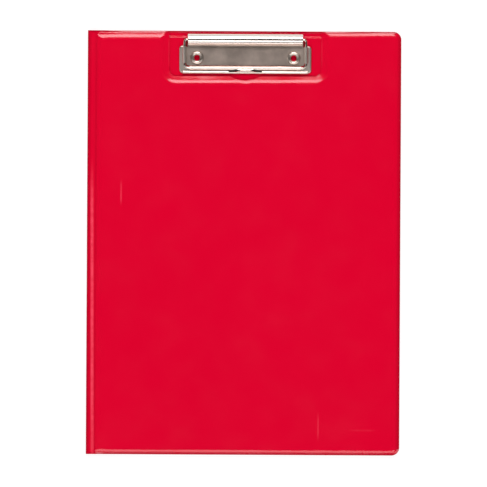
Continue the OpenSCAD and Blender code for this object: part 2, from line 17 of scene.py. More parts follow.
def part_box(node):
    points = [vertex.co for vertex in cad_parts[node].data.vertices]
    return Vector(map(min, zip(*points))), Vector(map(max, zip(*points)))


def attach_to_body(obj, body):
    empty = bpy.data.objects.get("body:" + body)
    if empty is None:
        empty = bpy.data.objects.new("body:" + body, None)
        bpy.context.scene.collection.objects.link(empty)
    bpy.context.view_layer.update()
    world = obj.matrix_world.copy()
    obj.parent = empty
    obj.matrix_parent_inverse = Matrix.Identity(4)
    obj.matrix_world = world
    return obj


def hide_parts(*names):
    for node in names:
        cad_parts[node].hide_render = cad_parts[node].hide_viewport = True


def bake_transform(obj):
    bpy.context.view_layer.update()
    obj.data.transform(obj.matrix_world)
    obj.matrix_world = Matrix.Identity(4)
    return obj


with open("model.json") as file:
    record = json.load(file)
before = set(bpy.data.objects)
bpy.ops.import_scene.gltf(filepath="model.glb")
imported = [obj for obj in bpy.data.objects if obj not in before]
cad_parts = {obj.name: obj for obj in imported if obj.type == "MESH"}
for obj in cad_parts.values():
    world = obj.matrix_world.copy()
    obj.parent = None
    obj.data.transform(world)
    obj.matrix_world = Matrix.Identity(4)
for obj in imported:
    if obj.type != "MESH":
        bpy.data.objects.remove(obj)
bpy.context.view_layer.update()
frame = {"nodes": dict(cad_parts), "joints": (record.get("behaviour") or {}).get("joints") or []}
nodes = frame["nodes"]
MM = 0.001


def box_mm(node_name):
    """Lowest and highest corner of a CAD node, in millimetres."""
    return tuple(np.array(corner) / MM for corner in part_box(node_name))


# Heights and outline, from the CAD model's boxes
cover_low, cover_high = box_mm("cover_front_sheet")
strip_low, strip_high = box_mm("spine_outer_strip")
LEFT_X, RIGHT_X, TOP_Y = cover_low[0], cover_high[0], cover_high[1]
FRONT_Z = cover_high[2]
SHEET = strip_high[0] - strip_low[0]
COVER_WELD = cover_low[2]
COVER_RISE = FRONT_Z - COVER_WELD - SHEET
BACK_WELD = box_mm("back_rear_sheet")[1][2]
BACK_RISE = box_mm("back_front_sheet")[1][2] - BACK_WELD - SHEET

# Plan of the boards, with the widths and radii of the CAD source
SPINE_W = 6.4  # from the left edge to the crease
CREASE_W = 1.0
SEAM_W = 1.8  # welded seam along the free edges
SLOPE_W = 3.4  # from a board's edge to its seam
SHOULDER_R = 1.5  # corners of the boards
CORNER_R = 6.0  # corners of the sheets, away from the spine
HINGE_X = LEFT_X + SHEET
CREASE_X = LEFT_X + SPINE_W
FOLD_X = CREASE_X - CREASE_W / 2
CORE_X0 = CREASE_X + CREASE_W / 2 + SLOPE_W
CORE_X1 = RIGHT_X - SEAM_W - SLOPE_W
CORE_Y = TOP_Y - SEAM_W - SLOPE_W

# The clip, whose barrel lies on the axis of the jaw's joint, with an eyelet on either side
jaw_axis = next(joint["pos_m"] for joint in frame["joints"] if joint["name"] == "jaw_lift")
CLIP_X, BARREL_Y, BARREL_Z = (value / MM for value in jaw_axis)
EYELET_REACH = 36.3  # from the clip's middle
EYELET_SETBACK = 13.7  # from the barrel's axis
EYELET_HOLE_R = 2.7
EYELETS = [(CLIP_X + side * EYELET_REACH, BARREL_Y - EYELET_SETBACK) for side in (-1, 1)]

# The cover's cut-out round the clip, with a half-moon thumb cut in the seam at its floor
jaw_low, jaw_high = box_mm("clip_jaw")
NOTCH_SIDE = 7.4  # room beside the jaw
NOTCH_DEPTH = 34.0  # from the top edge to its floor
NOTCH_SEAM = 3.6
NOTCH_R = 5.0  # corners of its floor
MOUTH_R = 2.0  # corners at the top edge
THUMB_CUT_W = 22.0
THUMB_CUT_D = 3.2
NOTCH_HALF = (jaw_high[0] - jaw_low[0]) / 2 + NOTCH_SIDE
NOTCH_Y = TOP_Y - NOTCH_DEPTH
NOTCH_LEFT, NOTCH_RIGHT = CLIP_X - NOTCH_HALF, CLIP_X + NOTCH_HALF
NOTCH_INSET = NOTCH_SEAM + SLOPE_W


# Camera: straight above, with the photograph's offset in pixels and its small turn in degrees
PHOTO_SIDE = 487  # pixels
PIXEL = 0.7502  # millimetres
VIEW_X, VIEW_Y = -0.05, -0.55
VIEW_TURN = 0.31
CAM_DISTANCE = 5.0
SENSOR_W = 36
FAR_LIMIT = 100


def make_camera():
    data = bpy.data.cameras.new("camera")
    data.sensor_width = SENSOR_W
    data.lens = SENSOR_W * CAM_DISTANCE / (PHOTO_SIDE * PIXEL * MM)
    data.clip_end = FAR_LIMIT
    camera = bpy.data.objects.new("camera", data)
    camera.location = (VIEW_X * PIXEL * MM, VIEW_Y * PIXEL * MM, CAM_DISTANCE + FRONT_Z * MM)
    camera.rotation_euler = (0, 0, math.radians(VIEW_TURN))
    bpy.context.scene.collection.objects.link(camera)
    bpy.context.scene.camera = camera


make_camera()
bpy.context.scene.view_settings.view_transform = "Standard"


# Helpers for materials
NEAR_FULL = 0.3


def new_material(name):
    material = bpy.data.materials.new(name)
    material.use_nodes = True
    tree = material.node_tree
    tree.nodes.clear()
    output = tree.nodes.new("ShaderNodeOutputMaterial")
    shader = tree.nodes.new("ShaderNodeBsdfPrincipled")
    tree.links.new(shader.outputs[0], output.inputs[0])
    return material, tree, shader


def add_node(tree, kind, inputs=None, **settings):
    """Adds a shader node. An input is a socket to link or a value to set."""
    added = tree.nodes.new(kind)
    for name, value in settings.items():
        setattr(added, name, value)
    for name, value in (inputs or {}).items():
        if isinstance(value, bpy.types.NodeSocket):
            tree.links.new(value, added.inputs[name])
        else:
            added.inputs[name].default_value = value
    return added


def maths(tree, operation, *values):
    return add_node(tree, "ShaderNodeMath", dict(enumerate(values)), operation=operation).outputs[0]


def place_in_object(tree):
    return add_node(tree, "ShaderNodeTexCoord").outputs["Object"]


def noise(tree, where, scale, detail=3.0, rough=0.5):
    """Cloudy noise, mostly between 0.3 and 0.7. For places in metres, its scale is in cells a metre."""
    inputs = {"Vector": where, "Scale": scale, "Detail": detail, "Roughness": rough}
    return add_node(tree, "ShaderNodeTexNoise", inputs).outputs["Fac"]


def streaks(tree, scale, detail, rough):
    """Noise that is drawn out along the axes with the smaller scales."""
    inputs = {"Vector": place_in_object(tree), "Scale": scale}
    where = add_node(tree, "ShaderNodeMapping", inputs).outputs[0]
    return noise(tree, where, 1.0, detail, rough)


def remap(tree, value, low, high, to_low, to_high, **settings):
    inputs = {"Value": value, "From Min": low, "From Max": high, "To Min": to_low, "To Max": to_high}
    return add_node(tree, "ShaderNodeMapRange", inputs, **settings).outputs[0]


def near(tree, value, centre, half):
    """1 close to the centre, falling softly to 0 at half away from it."""
    away = maths(tree, "ABSOLUTE", maths(tree, "SUBTRACT", value, centre))
    return remap(tree, away, NEAR_FULL * half, half, 1.0, 0.0, interpolation_type="SMOOTHSTEP")


def colour_ramp(tree, value, stops):
    added = add_node(tree, "ShaderNodeValToRGB", {"Fac": value})
    elements = added.color_ramp.elements
    while len(elements) < len(stops):
        elements.new(0.5)
    for element, (position, colour) in zip(elements, stops):
        element.position = position
        element.color = (*colour, 1)
    return added.outputs[0]


def mix_colour(tree, share, first, second):
    """The first colour where share is 0, and the second, which is the same all over, where it is 1."""
    inputs = {0: share, 6: first, 7: (*second, 1)}
    return add_node(tree, "ShaderNodeMix", inputs, data_type="RGBA").outputs[2]


def bump(tree, height, depth, normal=None):
    inputs = {"Strength": 1.0, "Distance": depth * MM, "Height": height}
    if normal:
        inputs["Normal"] = normal
    return add_node(tree, "ShaderNodeBump", inputs).outputs[0]


# PVC sheet
# Painted shade darkens the outer edges, over the seams: how far from a side or an end it starts, and where
# it is full
SIDE_RIM_SHADE = (3.2, 0.6)
END_RIM_SHADE = (2.4, 0.6)
RIM_SHADE_TONE = 0.66
# Painted shade also darkens the crease beside the spine, by a share of that
CREASE_HALF = 1.1
CREASE_SHARE = 0.4
# Roughness strays so far below and above the sheet's own, and the sag is so many times as deep as the skin
GLOSS_BELOW, GLOSS_ABOVE = 0.03, 0.05
SAG = 6
PVC_IOR = 1.5

# A soft oblong of painted colour on a sheet, which leans to -X by its slant for each millimetre of Y
Patch = namedtuple("Patch", "x y half_x half_y slant strength")


def rim_shade_share(tree, x, y):
    """Share of painted shade: 1 along the outer edges, less in the crease beside the spine, and 0 elsewhere.
    """
    edges = []
    for value, edge, (start, full) in ((x, RIGHT_X, SIDE_RIM_SHADE), (y, TOP_Y, END_RIM_SHADE)):
        away = maths(tree, "ABSOLUTE", value)
        edges.append(remap(tree, away, (edge - start) * MM, (edge - full) * MM, 0.0, 1.0))
    crease = maths(tree, "MULTIPLY", near(tree, x, CREASE_X * MM, CREASE_HALF * MM), CREASE_SHARE)
    return maths(tree, "MAXIMUM", maths(tree, "MAXIMUM", *edges), crease)


def patch_share(tree, where, x, y, patches):
    """Strength of the painted patches, broken up by fine noise."""
    share = None
    for patch in patches:
        across = maths(tree, "ADD", x, maths(tree, "MULTIPLY", y, patch.slant))
        in_x = near(tree, across, patch.x * MM, patch.half_x * MM)
        in_y = near(tree, y, patch.y * MM, patch.half_y * MM)
        mask = maths(tree, "MULTIPLY", maths(tree, "MULTIPLY", in_x, in_y), patch.strength)
        share = mask if share is None else maths(tree, "MAXIMUM", share, mask)
    broken = remap(tree, noise(tree, where, scale=220), 0.35, 0.6, 0.6, 1.0)
    return maths(tree, "MULTIPLY", share, broken)


def pvc(name, base, deep, roughness, skin_depth, patches=(), patch_colour=None):
    """Soft PVC: cloudy colour, painted edge shade, painted patches, uneven gloss, and a fine skin that sags.
    """
    material, tree, shader = new_material(name)
    where = place_in_object(tree)
    place = add_node(tree, "ShaderNodeSeparateXYZ", {0: where}).outputs
    tint = colour_ramp(tree, noise(tree, where, scale=14, detail=4), [(0.3, deep), (0.7, base)])
    # Painted shade along the outer edges and in the crease beside the spine
    rim_shade_colour = tuple(RIM_SHADE_TONE * value for value in deep)
    tint = mix_colour(tree, rim_shade_share(tree, place["X"], place["Y"]), tint, rim_shade_colour)
    # Patches of painted highlight on the cover, and of painted shade on the back board
    if patches:
        tint = mix_colour(tree, patch_share(tree, where, place["X"], place["Y"], patches), tint, patch_colour)
    cloud = noise(tree, where, scale=45, detail=5)
    gloss = remap(tree, cloud, 0.3, 0.7, roughness - GLOSS_BELOW, roughness + GLOSS_ABOVE)
    skin = bump(tree, noise(tree, where, scale=1400, detail=2), skin_depth)
    sag = bump(tree, noise(tree, where, scale=60, detail=2), SAG * skin_depth, skin)
    tree.links.new(tint, shader.inputs["Base Color"])
    tree.links.new(gloss, shader.inputs["Roughness"])
    tree.links.new(sag, shader.inputs["Normal"])
    shader.inputs["IOR"].default_value = PVC_IOR
    return material


# The cover carries a painted highlight along the crown of its fold, a few thin pale lines, and painted
# highlights along the cut-out's cut edges
PALE_HIGHLIGHT_TONE = (0.98, 0.062, 0.115)
FOLD_TOP_X = CREASE_X - 2.5
FOLD_SLANT = 0.0059
NOTCH_GLINT_REACH = NOTCH_HALF + 0.4
HIGHLIGHTS_AND_PALE_LINES = [
    # Painted highlight along the crown of the fold
    Patch(FOLD_TOP_X, 0.0, 1.6, 66.0, FOLD_SLANT, 0.95),
    Patch(FOLD_TOP_X, -75.0, 1.6, 130.0, FOLD_SLANT, 0.95),
    # Thin pale lines
    Patch(-92.1, 37.3, 0.9, 11.0, 0.0, 0.5),
    Patch(56.6, -137.5, 0.7, 12.0, 0.0, 0.4),
    Patch(90.0, -140.2, 12.0, 0.9, 0.0, 0.14),
    # Painted highlights along the cut edges of the cut-out
    Patch(CLIP_X - NOTCH_GLINT_REACH, 143.0, 0.6, 14.0, 0.0, 0.2),
    Patch(CLIP_X + NOTCH_GLINT_REACH, 143.0, 0.6, 14.0, 0.0, 0.2),
]

# Painted shade on the back board, in the gaps beside both ends of the barrel where the barrel and the wire
# shade it
BARREL_SHADE_COLOUR = (0.13, 0.016, 0.018)
BARREL_SHADE_REACH, BARREL_SHADE_Y = 44.2, 149.6
BARREL_SHADE = [Patch(CLIP_X + side * BARREL_SHADE_REACH, BARREL_SHADE_Y, 3.2, 5.6, 0.0, 1.0) for side in (-1, 1)]

SHINY_RED = {
    "base": (0.76, 0.0, 0.027),
    "deep": (0.745, 0.0, 0.026),
    "roughness": 0.15,
    "skin_depth": 0.0008,
}
RED = pvc("red_pvc", **SHINY_RED)
# The back board's front sheet carries the painted shade beside the barrel's ends
BACK_RED = pvc("red_pvc_back", **SHINY_RED, patches=BARREL_SHADE, patch_colour=BARREL_SHADE_COLOUR)
COVER_RED = pvc("red_pvc_cover", **SHINY_RED, patches=HIGHLIGHTS_AND_PALE_LINES, patch_colour=PALE_HIGHLIGHT_TONE)
LINING = pvc("red_pvc_lining", (0.72, 0.001, 0.027), (0.68, 0.001, 0.024), 0.42, 0.003)
POCKET = pvc("pocket_pvc", (0.72, 0.02, 0.055), (0.68, 0.016, 0.048), 0.36, 0.002)


# Metals
# A plate that is rolled round is polished above a height: its tone there, its share of the roughness, and
# the rise over which both come in
POLISHED_TONE = (0.73, 0.65, 0.6)
POLISHED_SHARE = 0.7
POLISH_RISE = 0.3
# A plate may be rougher far from the clip's middle: by how much, and the distance over which that comes in
DULL_MORE = 0.16
DULL_OVER = 6.0
# Scales of the marks left by rolling along X, by drawing and by pressing
ROLLED = (60, 2500, 2500)
DRAWN = (600, 600, 600)
PRESSED = (900, 900, 900)


def metal(name, light, dark, rough, marks, depth, polished_above=None, dull_beyond=None):
    """Plated or drawn metal: cloudy tone, and marks that show in its roughness and its surface."""
    material, tree, shader = new_material(name)
    where = place_in_object(tree)
    place = add_node(tree, "ShaderNodeSeparateXYZ", {0: where}).outputs
    cloud = noise(tree, where, scale=90, detail=5, rough=0.6)
    tone = colour_ramp(tree, cloud, [(0.35, dark), (0.65, light)])
    lines = streaks(tree, marks, detail=4, rough=0.6)
    spots = noise(tree, where, scale=60, detail=4)
    uneven = maths(tree, "MULTIPLY", maths(tree, "ADD", lines, spots), 0.5)
    roughness = remap(tree, uneven, 0.35, 0.65, *rough)
    if polished_above:
        top = (polished_above + POLISH_RISE) * MM
        polish = remap(tree, place["Z"], polished_above * MM, top, 0.0, 1.0)
        tone = mix_colour(tree, polish, tone, POLISHED_TONE)
        roughness = maths(tree, "MULTIPLY", roughness, remap(tree, polish, 0.0, 1.0, 1.0, POLISHED_SHARE))
    if dull_beyond:
        away = maths(tree, "ABSOLUTE", maths(tree, "SUBTRACT", place["X"], CLIP_X * MM))
        dull = remap(tree, away, (dull_beyond - DULL_OVER) * MM, dull_beyond * MM, 0.0, DULL_MORE)
        roughness = maths(tree, "ADD", roughness, dull)
    tree.links.new(tone, shader.inputs["Base Color"])
    tree.links.new(roughness, shader.inputs["Roughness"])
    tree.links.new(bump(tree, lines, depth), shader.inputs["Normal"])
    shader.inputs["Metallic"].default_value = 1
    return material


NICKEL = metal(
    "nickel_plate",
    light=(0.79, 0.64, 0.56),
    dark=(0.61, 0.49, 0.425),
    rough=(0.29, 0.37),
    marks=ROLLED,
    depth=0.0015,
    polished_above=3.6,
)
JAW = metal(
    "nickel_jaw",
    light=(0.66, 0.57, 0.51),
    dark=(0.61, 0.525, 0.47),
    rough=(0.13, 0.19),
    marks=ROLLED,
    depth=0.0015,
    dull_beyond=44,
)
EYELET = metal("nickel_eyelet", (0.64, 0.545, 0.48), (0.58, 0.49, 0.43), (0.27, 0.35), PRESSED, 0.001)
WIRE = metal("nickel_wire", (0.67, 0.59, 0.53), (0.6, 0.525, 0.47), (0.12, 0.2), DRAWN, 0.001)
SPRING = metal("spring_steel", (0.34, 0.33, 0.32), (0.24, 0.23, 0.22), (0.25, 0.4), DRAWN, 0.002)


# Greyboard
FIBRES = (300, 1500, 1500)
FIBRE_DEPTH = 0.04
DARK_PULP, PALE_PULP = (0.2, 0.18, 0.155), (0.4, 0.37, 0.32)


def greyboard(name):
    """Pressed waste paper: fibres along X and fine flecks."""
    material, tree, shader = new_material(name)
    fibre = streaks(tree, FIBRES, detail=5, rough=0.7)
    fleck = noise(tree, place_in_object(tree), scale=900, detail=2)
    tone = colour_ramp(tree, maths(tree, "ADD", fibre, fleck), [(0.35, DARK_PULP), (0.8, PALE_PULP)])
    tree.links.new(tone, shader.inputs["Base Color"])
    tree.links.new(remap(tree, fleck, 0.3, 0.7, 0.8, 0.95), shader.inputs["Roughness"])
    tree.links.new(bump(tree, fibre, FIBRE_DEPTH), shader.inputs["Normal"])
    return material


BOARD = greyboard("greyboard")


# Helpers for meshes
ARC_POINTS = 10
STEP = 3.0
SAME_PLACE = 1e-6
# Unevenness: how a wave's phase follows the seed, how each next wave weakens, and what the sum is divided by
WAVE_PHASE, WAVE_FALL, WAVE_SUM = 1.7, 0.6, 2.2


def arc(cx, cy, radius, start, end, count=ARC_POINTS):
    """Points on an arc, in degrees, without its last one."""
    turn = np.radians(np.linspace(start, end, count, endpoint=False))
    return np.c_[cx + radius * np.cos(turn), cy + radius * np.sin(turn)]


def run(start, end, count):
    """Points on a straight line, without its last one."""
    share = np.linspace(0, 1, count, endpoint=False)[:, None]
    return np.array(start)[None] * (1 - share) + np.array(end)[None] * share


def steps(length):
    """Number of points along a straight length."""
    return max(2, int(round(length / STEP)))


def wave(along, seed, lengths=(97.0, 43.0, 23.0, 13.0)):
    """Smooth unevenness along a length, about -1 to 1, always the same for a seed."""
    total = np.zeros_like(along)
    for i, length in enumerate(lengths):
        phase = seed * (WAVE_PHASE + i) + i * i
        total += np.sin(2 * np.pi * along / length + phase) / (1.0 + WAVE_FALL * i)
    return total / WAVE_SUM


def make_object(name, points, faces, material, sharp_angle):
    """Smooth mesh that faces outward, with sharp edges where faces meet at more than a given angle."""
    mesh = bpy.data.meshes.new(name)
    mesh.from_pydata((np.asarray(points) * MM).tolist(), [], faces)
    mesh.validate()
    shape = bmesh.new()
    shape.from_mesh(mesh)
    bmesh.ops.recalc_face_normals(shape, faces=shape.faces)
    shape.to_mesh(mesh)
    shape.free()
    mesh.shade_smooth()
    mesh.set_sharp_from_angle(angle=math.radians(sharp_angle))
    mesh.materials.append(material)
    made = bpy.data.objects.new(name, mesh)
    bpy.context.scene.collection.objects.link(made)
    return made


def thick(outer, inner, faces):
    """Closes a sheet: both sides, and a wall along every edge that has a face on one side only."""
    count = len(outer)
    used = {}
    for face in faces:
        for p, q in zip(face, face[1:] + face[:1]):
            used[(p, q)] = True
    walls = [(q, p, p + count, q + count) for p, q in used if (q, p) not in used]
    backs = [tuple(v + count for v in face[::-1]) for face in faces]
    return np.concatenate([outer, inner]), faces + backs + walls


def tube_faces(rings, around):
    """Faces of a tube of closed rings, with a cap at each end."""
    faces = []
    for i in range(rings - 1):
        low, high = i * around, (i + 1) * around
        for j in range(around):
            k = (j + 1) % around
            faces.append((low + j, low + k, high + k, high + j))
    last = (rings - 1) * around
    faces.append(tuple(range(around)))
    faces.append(tuple(range(last, last + around))[::-1])
    return faces


def attach(piece, body, replaced):
    """Lets a piece ride on a body, in the place of a CAD node."""
    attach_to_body(piece, body)
    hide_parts(replaced)


# Outlines of the sheets
MIN_R = 0.2
NOTCH_FINE = 3  # how much closer the points on the cut-out's floor lie, for the thumb cut


def board_ring(grow, notched):
    """Closed outline of a board whose edge is moved outward by grow.

    It has the same number of points at any grow. The corners at the free edge grow with it, and those at the
    spine and at the cut-out's mouth keep their radius.
    """
    left, right, top = CORE_X0, CORE_X1, CORE_Y
    free_r = max(SHOULDER_R + grow, MIN_R)
    free = free_r - grow
    kept = SHOULDER_R - grow
    parts = [
        arc(left + kept, kept - top, SHOULDER_R, 180, 270),
        run((left + kept, -top - grow), (right - free, -top - grow), steps(right - left)),
        arc(right - free, free - top, free_r, 270, 360),
        run((right + grow, free - top), (right + grow, top - free), steps(2 * top)),
        arc(right - free, top - free, free_r, 0, 90),
    ]
    if notched:
        cut_left, cut_right = NOTCH_LEFT - NOTCH_INSET, NOTCH_RIGHT + NOTCH_INSET
        low, turn = NOTCH_Y - NOTCH_INSET, NOTCH_R + NOTCH_INSET
        side_steps = steps(top - low - turn)
        floor_steps = NOTCH_FINE * steps(cut_right - cut_left)
        parts += [
            run((right - free, top + grow), (cut_right + kept, top + grow), steps(right - cut_right)),
            arc(cut_right + kept, top - kept, SHOULDER_R, 90, 180),
            run((cut_right - grow, top - kept), (cut_right - grow, low + turn), side_steps),
            arc(cut_right - turn, low + turn, turn - grow, 0, -90),
            run((cut_right - turn, low + grow), (cut_left + turn, low + grow), floor_steps),
            arc(cut_left + turn, low + turn, turn - grow, -90, -180),
            run((cut_left + grow, low + turn), (cut_left + grow, top - kept), side_steps),
            arc(cut_left - kept, top - kept, SHOULDER_R, 0, 90),
            run((cut_left - kept, top + grow), (left + kept, top + grow), steps(cut_left - left)),
        ]
    else:
        parts.append(run((right - free, top + grow), (left + kept, top + grow), steps(right - left)))
    parts.append(arc(left + kept, top - kept, SHOULDER_R, 90, 180))
    parts.append(run((left - grow, top - kept), (left - grow, kept - top), steps(2 * top)))
    return np.concatenate(parts)


def thumb_cut(x):
    """Depth of the half-moon cut at each x."""
    radius = ((THUMB_CUT_W / 2) ** 2 + THUMB_CUT_D**2) / (2 * THUMB_CUT_D)
    away = np.minimum(np.abs(x - CLIP_X), THUMB_CUT_W / 2)
    return np.maximum(0, THUMB_CUT_D - radius + np.sqrt(radius**2 - away**2))


def seam_ring(notched):
    """Outer edge of the welded seam, and the crease at the spine, point for point with board_ring."""
    left, right, top = CORE_X0, CORE_X1, CORE_Y
    kept, r = SHOULDER_R - SLOPE_W, CORNER_R
    half = ARC_POINTS // 2
    rest = ARC_POINTS - half
    parts = [
        run((FOLD_X, kept - top), (FOLD_X, -TOP_Y), half),
        run((FOLD_X, -TOP_Y), (left + kept, -TOP_Y), rest),
        run((left + kept, -TOP_Y), (RIGHT_X - r, -TOP_Y), steps(right - left)),
        arc(RIGHT_X - r, r - TOP_Y, r, 270, 360),
        run((RIGHT_X, r - TOP_Y), (RIGHT_X, TOP_Y - r), steps(2 * top)),
        arc(RIGHT_X - r, TOP_Y - r, r, 0, 90),
    ]
    if notched:
        low, turn = NOTCH_Y, NOTCH_R
        side_steps = steps(top - low - turn)
        floor_steps = NOTCH_FINE * steps(NOTCH_RIGHT - NOTCH_LEFT + 2 * NOTCH_INSET)
        floor = run((NOTCH_RIGHT - turn, low), (NOTCH_LEFT + turn, low), floor_steps)
        floor[:, 1] -= thumb_cut(floor[:, 0])
        right_steps = steps(right - NOTCH_RIGHT - NOTCH_INSET)
        left_steps = steps(NOTCH_LEFT - NOTCH_INSET - left)
        parts += [
            run((RIGHT_X - r, TOP_Y), (NOTCH_RIGHT + MOUTH_R, TOP_Y), right_steps),
            arc(NOTCH_RIGHT + MOUTH_R, TOP_Y - MOUTH_R, MOUTH_R, 90, 180),
            run((NOTCH_RIGHT, TOP_Y - MOUTH_R), (NOTCH_RIGHT, low + turn), side_steps),
            arc(NOTCH_RIGHT - turn, low + turn, turn, 0, -90),
            floor,
            arc(NOTCH_LEFT + turn, low + turn, turn, -90, -180),
            run((NOTCH_LEFT, low + turn), (NOTCH_LEFT, TOP_Y - MOUTH_R), side_steps),
            arc(NOTCH_LEFT - MOUTH_R, TOP_Y - MOUTH_R, MOUTH_R, 0, 90),
            run((NOTCH_LEFT - MOUTH_R, TOP_Y), (left + kept, TOP_Y), left_steps),
        ]
    else:
        parts.append(run((RIGHT_X - r, TOP_Y), (left + kept, TOP_Y), steps(right - left)))
    parts.append(run((left + kept, TOP_Y), (FOLD_X, TOP_Y), half))
    parts.append(run((FOLD_X, TOP_Y), (FOLD_X, top - kept), rest))
    parts.append(run((FOLD_X, top - kept), (FOLD_X, kept - top), steps(2 * top)))
    return np.concatenate(parts)


# How a sheet leaves its board at an edge: how far past the board its slope ends, how much further out that
# is for each millimetre of X, the length of the slope, and how steeply the seam droops past its end
Edge = namedtuple("Edge", "toe lean reach droop")
SIDE = Edge(SLOPE_W, 0.0, 3.7, 0.22)
COVER_TOP = Edge(3.1, 0.011, 4.4, 0.15)
NOTCH = Edge(4.2, 0.006, 3.9, 0.18)
BOTTOM = Edge(4.15, 0.0, 3.1, 0.57)
BACK_TOP = Edge(1.2, 0.0, 1.1, -0.05)

# Unevenness of the slope's length and of the droop, and how far from the crease both come to their full size
REACH_WAVE, DROOP_WAVE, SPINE_FADE = 0.25, 0.03, 10.0
# Least width of seam past the slope, and how far above the cut-out's floor an edge counts as the top edge
MIN_SEAM, NOTCH_LEVEL = 0.1, 20.0
# Embossed groove in the seam, with its place and half width as shares of the seam's width
GROOVE_DEPTH, GROOVE_AT, GROOVE_HALF = 0.06, 0.18, 0.09
# Rolled edge of the seam, from a share of its width, and the depth of the crease beside the spine
ROLL_DEPTH, ROLL_FROM, CREASE_DEPTH = 0.04, 0.8, 0.1
# Rings of points across an edge: over the board and down its slope, and then by share of the seam's width
BOARD_RINGS = np.r_[-2.2, -1.6, -1.0, -0.5, np.linspace(0, SLOPE_W, 19)]
SEAM_RINGS = (0.07, 0.14, 0.22, 0.32, 0.42, 0.5, 0.6, 0.7, 0.78, 0.85, 0.9, 0.95, 1.0)

# The soft fold beside the spine: how far its top lies below the board's, and the shares of its width where
# its rise ends and where its round nose begins
CROWN_DROP, CROWN_FROM, CROWN_TO = 0.2, 0.3, 0.45
RIDGE_WAVE, RIDGE_LENGTHS = 0.07, (61.0, 37.0, 19.0)
# Rows of points over the fold and round its edge, and the edge's inner radius as a share of the sheet
FOLD_ROWS, HINGE_ROWS, HINGE_CORE = 28, 5, 0.1
# What is added to a sheet's seed for its droop and its fold
DROOP_SEED, RIDGE_SEED = 3, 5
HOLE_POINTS = 40
SHEET_SHARP = 45

Sheet = namedtuple("Sheet", "name replaced body material weld rise side top_edge seed")
Profile = namedtuple("Profile", "toe reach droop fade width in_notch")


class SheetMesh:
    """Points on the two sides of a sheet, in matching rows, and the faces of one side."""

    def __init__(self):
        self.outer = []
        self.inner = []
        self.faces = []
        self.count = 0

    def add_outline(self, outline, outer_z, inner_z):
        """Adds a row whose points lie at the same places on both sides."""
        return self.add_row(np.c_[outline, outer_z], np.c_[outline, inner_z])

    def add_row(self, outer, inner):
        """Adds a row of points to both sides, and returns their numbers."""
        first = self.count
        self.outer.append(outer)
        self.inner.append(inner)
        self.count += len(outer)
        return list(range(first, self.count))

    def join(self, low, high, closed):
        """Adds the faces between two rows of points."""
        for j in range(len(low) if closed else len(low) - 1):
            k = (j + 1) % len(low)
            self.faces.append((low[j], low[k], high[k], high[j]))


def edge_shares(ring, top_edge):
    """The edges that face +Y or -Y, each with its share at every point. The rest is SIDE's."""
    ahead = np.roll(ring, -1, axis=0) - np.roll(ring, 1, axis=0)
    facing = -ahead[:, 0] / np.linalg.norm(ahead, axis=1)
    upward = np.clip(facing, 0, 1) ** 2
    downward = np.clip(-facing, 0, 1) ** 2
    at_top = ring[:, 1] > NOTCH_Y + NOTCH_LEVEL
    return [(top_edge, upward * at_top), (NOTCH, upward * ~at_top), (BOTTOM, downward)]


def edge_profile(sheet, ring, seam_start, seam_end):
    """How the sheet runs down at every point of the ring."""
    shares = edge_shares(ring, sheet.top_edge)
    toe, lean, reach, droop = (
        base + sum((edge[i] - base) * share for edge, share in shares) for i, base in enumerate(SIDE)
    )
    along = np.r_[0, np.cumsum(np.linalg.norm(np.diff(ring, axis=0), axis=1))]
    fade = np.clip((seam_end[:, 0] - FOLD_X) / SPINE_FADE, 0, 1)
    width = np.linalg.norm(seam_end - seam_start, axis=1)
    toe = np.minimum(toe + lean * ring[:, 0], SLOPE_W + width - MIN_SEAM)
    toe = toe - np.maximum(toe - SLOPE_W, 0) * (1 - fade)
    reach = reach + REACH_WAVE * wave(along, sheet.seed) * fade
    droop = (droop + DROOP_WAVE * wave(along, sheet.seed + DROOP_SEED)) * fade
    return Profile(toe, reach, droop, fade, width, shares[1][1])


def slope_height(sheet, profile, grow):
    """Height of the sheet's inner face over the weld, at a distance past the board."""
    up_slope = np.clip(profile.toe - grow, 0, None) / profile.reach
    return sheet.rise * (1 - np.clip(1 - up_slope, 0, 1) ** 2)


def droop_depth(profile, grow):
    """How far the sheet hangs down past the end of its slope."""
    return profile.droop * np.clip(grow - profile.toe, 0, None)


def seam_relief(profile, share):
    """Depth that is pressed into the seam at a share of its width. The cut-out's edge isn't rolled."""
    groove = GROOVE_DEPTH * math.exp(-(((share - GROOVE_AT) / GROOVE_HALF) ** 2))
    roll = ROLL_DEPTH * max(0.0, (share - ROLL_FROM) / (1 - ROLL_FROM)) ** 2
    crease = CREASE_DEPTH * math.sin(math.pi * share)
    return (groove + roll * (1 - profile.in_notch)) * profile.fade + crease * (1 - profile.fade)


def add_edge(mesh, sheet, notched, seam_end):
    """Rows of the sheet from the flat over its board, down the slope and across the seam."""
    seam_start = board_ring(SLOPE_W, notched)
    profile = edge_profile(sheet, board_ring(0, notched), seam_start, seam_end)
    bands = []
    for grow in BOARD_RINGS:
        bands.append((board_ring(grow, notched), slope_height(sheet, profile, grow), grow))
    bands[0][1][:] = sheet.rise  # the innermost ring lies level with the flat
    for share in SEAM_RINGS:
        grow = SLOPE_W + share * profile.width
        height = slope_height(sheet, profile, grow) - seam_relief(profile, share)
        bands.append((seam_start * (1 - share) + seam_end * share, height, grow))
    rows = []
    for outline, height, grow in bands:
        z = sheet.weld + sheet.side * (height + SHEET) - droop_depth(profile, grow)
        rows.append(mesh.add_outline(outline, z, z - sheet.side * SHEET))
    for low, high in zip(rows, rows[1:]):
        mesh.join(low, high, closed=True)
    return rows


